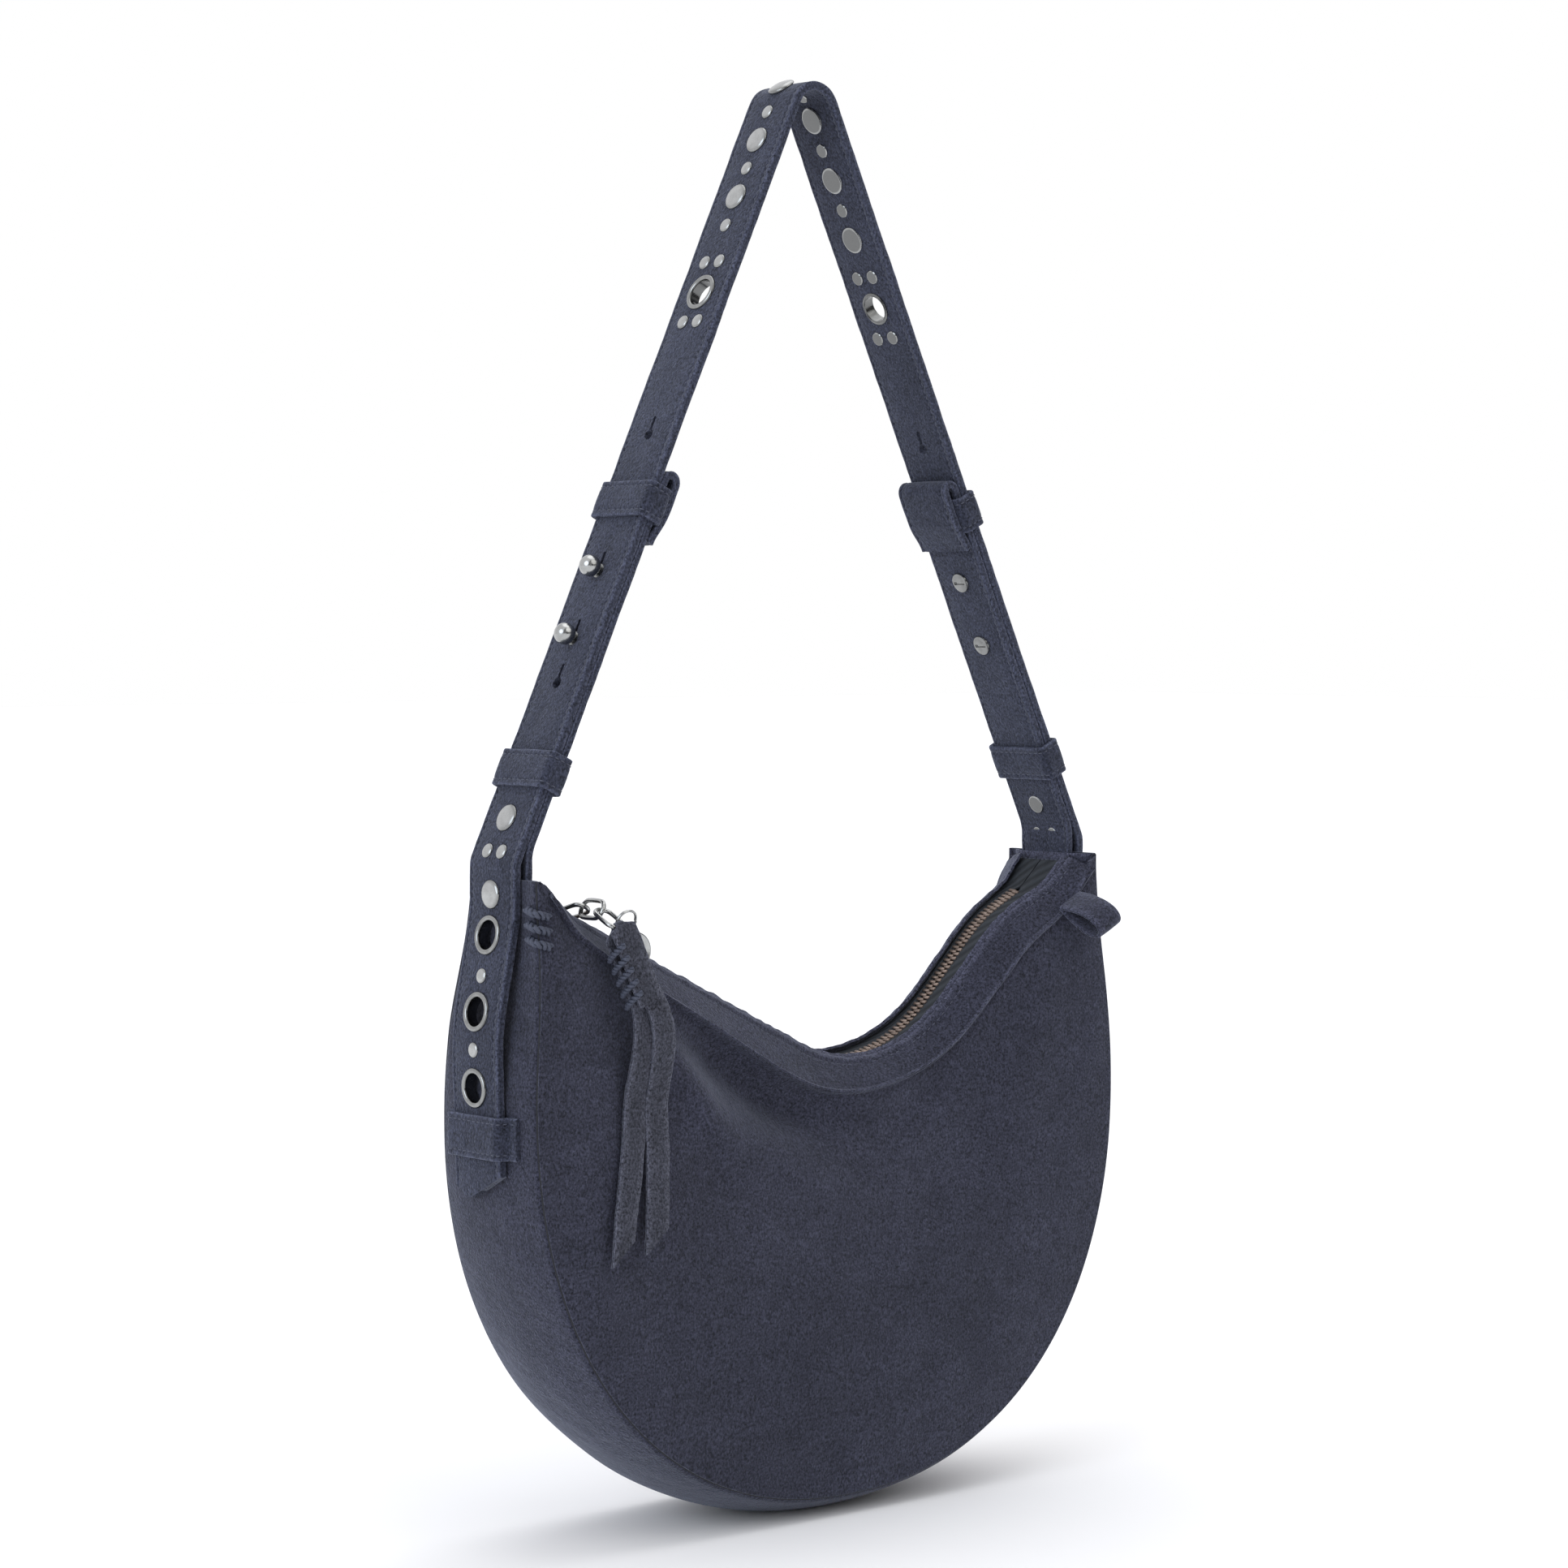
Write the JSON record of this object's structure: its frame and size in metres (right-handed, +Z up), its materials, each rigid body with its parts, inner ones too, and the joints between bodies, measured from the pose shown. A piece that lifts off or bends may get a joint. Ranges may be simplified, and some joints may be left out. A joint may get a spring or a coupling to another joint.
{
  "type": "shoulder bag",
  "caption": "Soft suede half-moon shoulder bag with a zipped curved mouth, a chain pull with tassel and disc, and one wide riveted strap held by keepers and ball studs.",
  "frame": {"origin": "middle of the body's base, on the surface that the bag stands on", "axes": "+X along the bag to its right end, +Z up, the front panel with the tassel faces -Y"},
  "size_m": [0.3312, 0.0886, 0.5953],
  "materials": {
    "suede": "matt napped",
    "cloth": "woven",
    "nickel": "antique satin",
    "bronze": "dark antique"
  },
  "bodies": {
    "bag": {"front_panel": "suede", "back_panel": "suede", "gusset": "suede", "front_top_band": "suede", "back_top_band": "suede", "end_facing_left": "suede", "end_facing_right": "suede", "side_loop_tab": "suede", "gusset_loop_left": "suede", "gusset_loop_right": "suede", "strap_tail_left": "suede", "strap_tail_right": "suede", "lining_front": "cloth", "lining_back": "cloth", "lining_gusset": "cloth", "slip_pocket": "cloth", "zip_tape_front": "cloth", "zip_tape_back": "cloth", "zip_teeth_front": "bronze", "zip_teeth_back": "bronze", "eyelet_left_top": "nickel", "eyelet_left_middle": "nickel", "eyelet_left_low": "nickel", "eyelet_right_top": "nickel", "eyelet_right_middle": "nickel", "eyelet_right_low": "nickel"},
    "strap": {"shoulder_strap": "suede", "inner_tab_left": "suede", "inner_tab_right": "suede", "upper_keeper_left": "suede", "upper_keeper_right": "suede", "cap_rivet_left_foot": "nickel", "cap_rivet_left_low": "nickel", "cap_rivet_left_middle": "nickel", "cap_rivet_left_high": "nickel", "cap_rivet_left_top": "nickel", "cap_rivet_right_foot": "nickel", "cap_rivet_right_low": "nickel", "cap_rivet_right_middle": "nickel", "cap_rivet_right_high": "nickel", "cap_rivet_right_top": "nickel", "ball_stud_left_lower": "nickel", "ball_stud_left_upper": "nickel", "ball_stud_right_lower": "nickel", "ball_stud_right_upper": "nickel", "eyelet_left_high": "nickel", "eyelet_right_high": "nickel"},
    "slider": {"zip_slider": "bronze"},
    "pull_link": {"pull_link": "nickel"},
    "chain_link_upper": {"chain_link_upper": "nickel"},
    "chain_link_lower": {"chain_link_lower": "nickel"},
    "tassel": {"tassel_head": "suede", "tassel_tail_left": "suede", "tassel_tail_right": "suede"},
    "split_ring": {"split_ring": "nickel"},
    "charm": {"charm_disc": "nickel"},
    "lower_keeper_left": {"lower_keeper_left": "suede"},
    "lower_keeper_right": {"lower_keeper_right": "suede"}
  },
  "joints": [
    {"name": "strap_swing", "type": "hinge", "parent": "bag", "child": "strap", "pos_m": [0, 0, 0.263], "axis": [1, 0, 0], "range_deg": [-20, 20]},
    {"name": "zip_slide", "type": "slide", "parent": "bag", "child": "slider", "axis": [0.8977, 0, -0.4406], "range_m": [0, 0.115]},
    {"name": "pull_lift", "type": "hinge", "parent": "slider", "child": "pull_link", "pos_m": [-0.12128, 0, 0.2528], "axis": [-0.8977, 0, 0.4406], "range_deg": [0, 80]},
    {"name": "upper_link_swing", "type": "hinge", "parent": "pull_link", "child": "chain_link_upper", "pos_m": [-0.11917, -0.01316, 0.2571], "axis": [-0.8977, 0, 0.4406], "range_deg": [0, 50]},
    {"name": "lower_link_swing", "type": "hinge", "parent": "chain_link_upper", "child": "chain_link_lower", "pos_m": [-0.1195, -0.02289, 0.25642], "axis": [-1, 0, 0], "range_deg": [0, 45]},
    {"name": "tassel_swing", "type": "hinge", "parent": "chain_link_lower", "child": "tassel", "pos_m": [-0.1195, -0.03547, 0.25029], "axis": [-1, 0, 0], "range_deg": [0, 60]},
    {"name": "ring_swing", "type": "hinge", "parent": "chain_link_lower", "child": "split_ring", "pos_m": [-0.1157, -0.0317, 0.25213], "axis": [0, -0.8988, -0.4384], "range_deg": [-20, 30]},
    {"name": "charm_swing", "type": "hinge", "parent": "split_ring", "child": "charm", "pos_m": [-0.10953, -0.03035, 0.24936], "axis": [0, -1, 0], "range_deg": [-20, 20]},
    {"name": "left_keeper_slide", "type": "slide", "parent": "strap", "child": "lower_keeper_left", "axis": [0.4209, 0, 0.9071], "range_m": [-0.006, 0.036]},
    {"name": "right_keeper_slide", "type": "slide", "parent": "strap", "child": "lower_keeper_right", "axis": [-0.4209, 0, 0.9071], "range_m": [-0.006, 0.036]}
  ]
}
